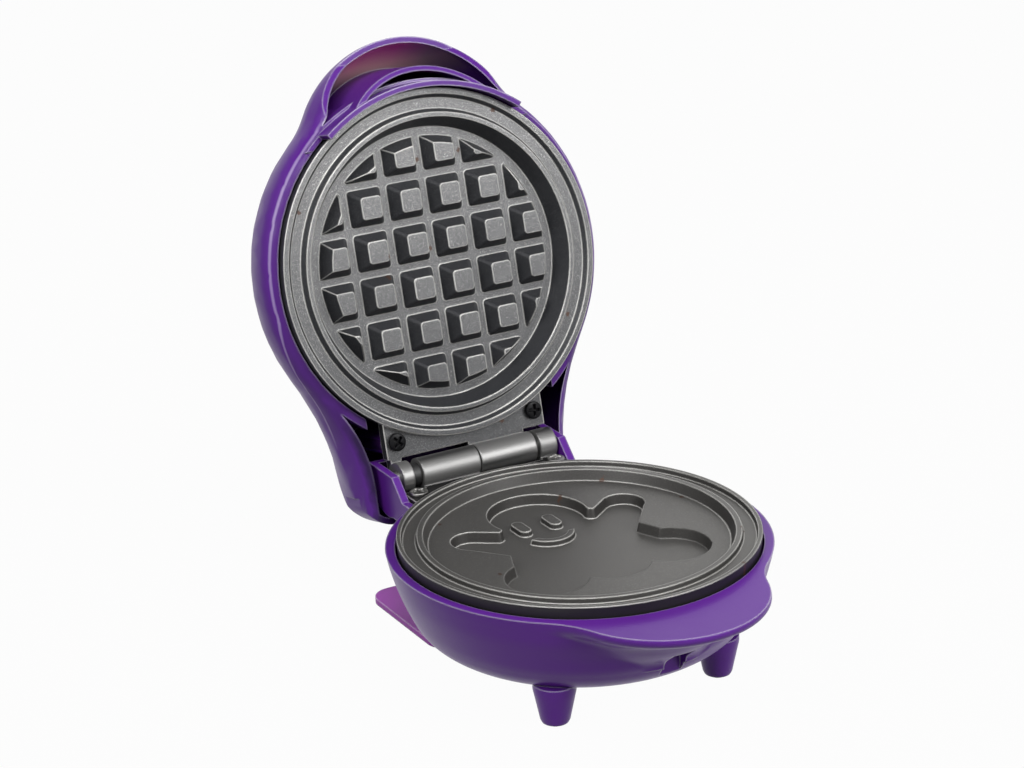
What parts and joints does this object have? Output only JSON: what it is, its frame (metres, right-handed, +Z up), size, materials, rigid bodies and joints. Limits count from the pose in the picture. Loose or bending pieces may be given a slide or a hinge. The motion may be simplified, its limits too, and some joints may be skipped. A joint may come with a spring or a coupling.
{
  "type": "mini waffle maker",
  "caption": "Small round electric waffle maker: hinged lid with a waffle-grid plate, relief-pattern lower plate, moulded handle lip and base on short legs.",
  "frame": {"origin": "centre of the bounding box in plan with the lid open, on the surface the feet stand on", "axes": "+Z up, +X along the hinge pin, front lip towards -Y, open lid towards +Y"},
  "size_m": [0.13, 0.2166, 0.1884],
  "materials": {
    "base_housing": "glossy moulded purple",
    "lid_housing": "glossy moulded purple",
    "rear_foot": "glossy moulded purple",
    "lower_plate": "non-stick coated casting",
    "upper_plate": "non-stick coated casting",
    "hinge_pin": "turned",
    "hinge_spacer": "black",
    "lower_heating_element": "sheathed tube",
    "upper_heating_element": "sheathed tube",
    "lower_heat_reflector": "bright sheet",
    "upper_heat_reflector": "bright sheet",
    "lower_reflector_screw": "zinc plated",
    "upper_reflector_screw": "zinc plated",
    "lower_thermostat": "dark phenolic",
    "upper_thermostat": "dark phenolic",
    "terminal_block": "glazed ceramic",
    "terminal_screw_left": "plain",
    "terminal_screw_right": "plain",
    "lower_plate_screw_left": "zinc plated",
    "lower_plate_screw_right": "zinc plated",
    "upper_plate_screw_left": "black oxide",
    "upper_plate_screw_right": "black oxide",
    "foot_screw_left": "zinc plated",
    "foot_screw_right": "zinc plated",
    "front_pad_left": "matte",
    "front_pad_right": "matte",
    "cord_gland": "matte",
    "thermal_fuse": "bare",
    "fuse_clip": "spring sheet",
    "indicator_lens": "translucent red"
  },
  "bodies": {
    "base": {"base_housing": "base_housing", "rear_foot": "rear_foot", "lower_plate": "lower_plate", "hinge_pin": "hinge_pin", "hinge_spacer": "hinge_spacer", "lower_heating_element": "lower_heating_element", "lower_heat_reflector": "lower_heat_reflector", "lower_reflector_screw": "lower_reflector_screw", "lower_thermostat": "lower_thermostat", "terminal_block": "terminal_block", "terminal_screw_left": "terminal_screw_left", "terminal_screw_right": "terminal_screw_right", "lower_plate_screw_left": "lower_plate_screw_left", "lower_plate_screw_right": "lower_plate_screw_right", "foot_screw_left": "foot_screw_left", "foot_screw_right": "foot_screw_right", "front_pad_left": "front_pad_left", "front_pad_right": "front_pad_right", "cord_gland": "cord_gland"},
    "lid": {"lid_housing": "lid_housing", "upper_plate": "upper_plate", "upper_heating_element": "upper_heating_element", "upper_heat_reflector": "upper_heat_reflector", "upper_reflector_screw": "upper_reflector_screw", "upper_thermostat": "upper_thermostat", "thermal_fuse": "thermal_fuse", "fuse_clip": "fuse_clip", "upper_plate_screw_left": "upper_plate_screw_left", "upper_plate_screw_right": "upper_plate_screw_right", "indicator_lens": "indicator_lens"}
  },
  "joints": [
    {"name": "lid_hinge", "type": "hinge", "parent": "base", "child": "lid", "pos_m": [0, 0.04495, 0.0474], "axis": [1, 0, 0], "range_deg": [0, 104]}
  ]
}
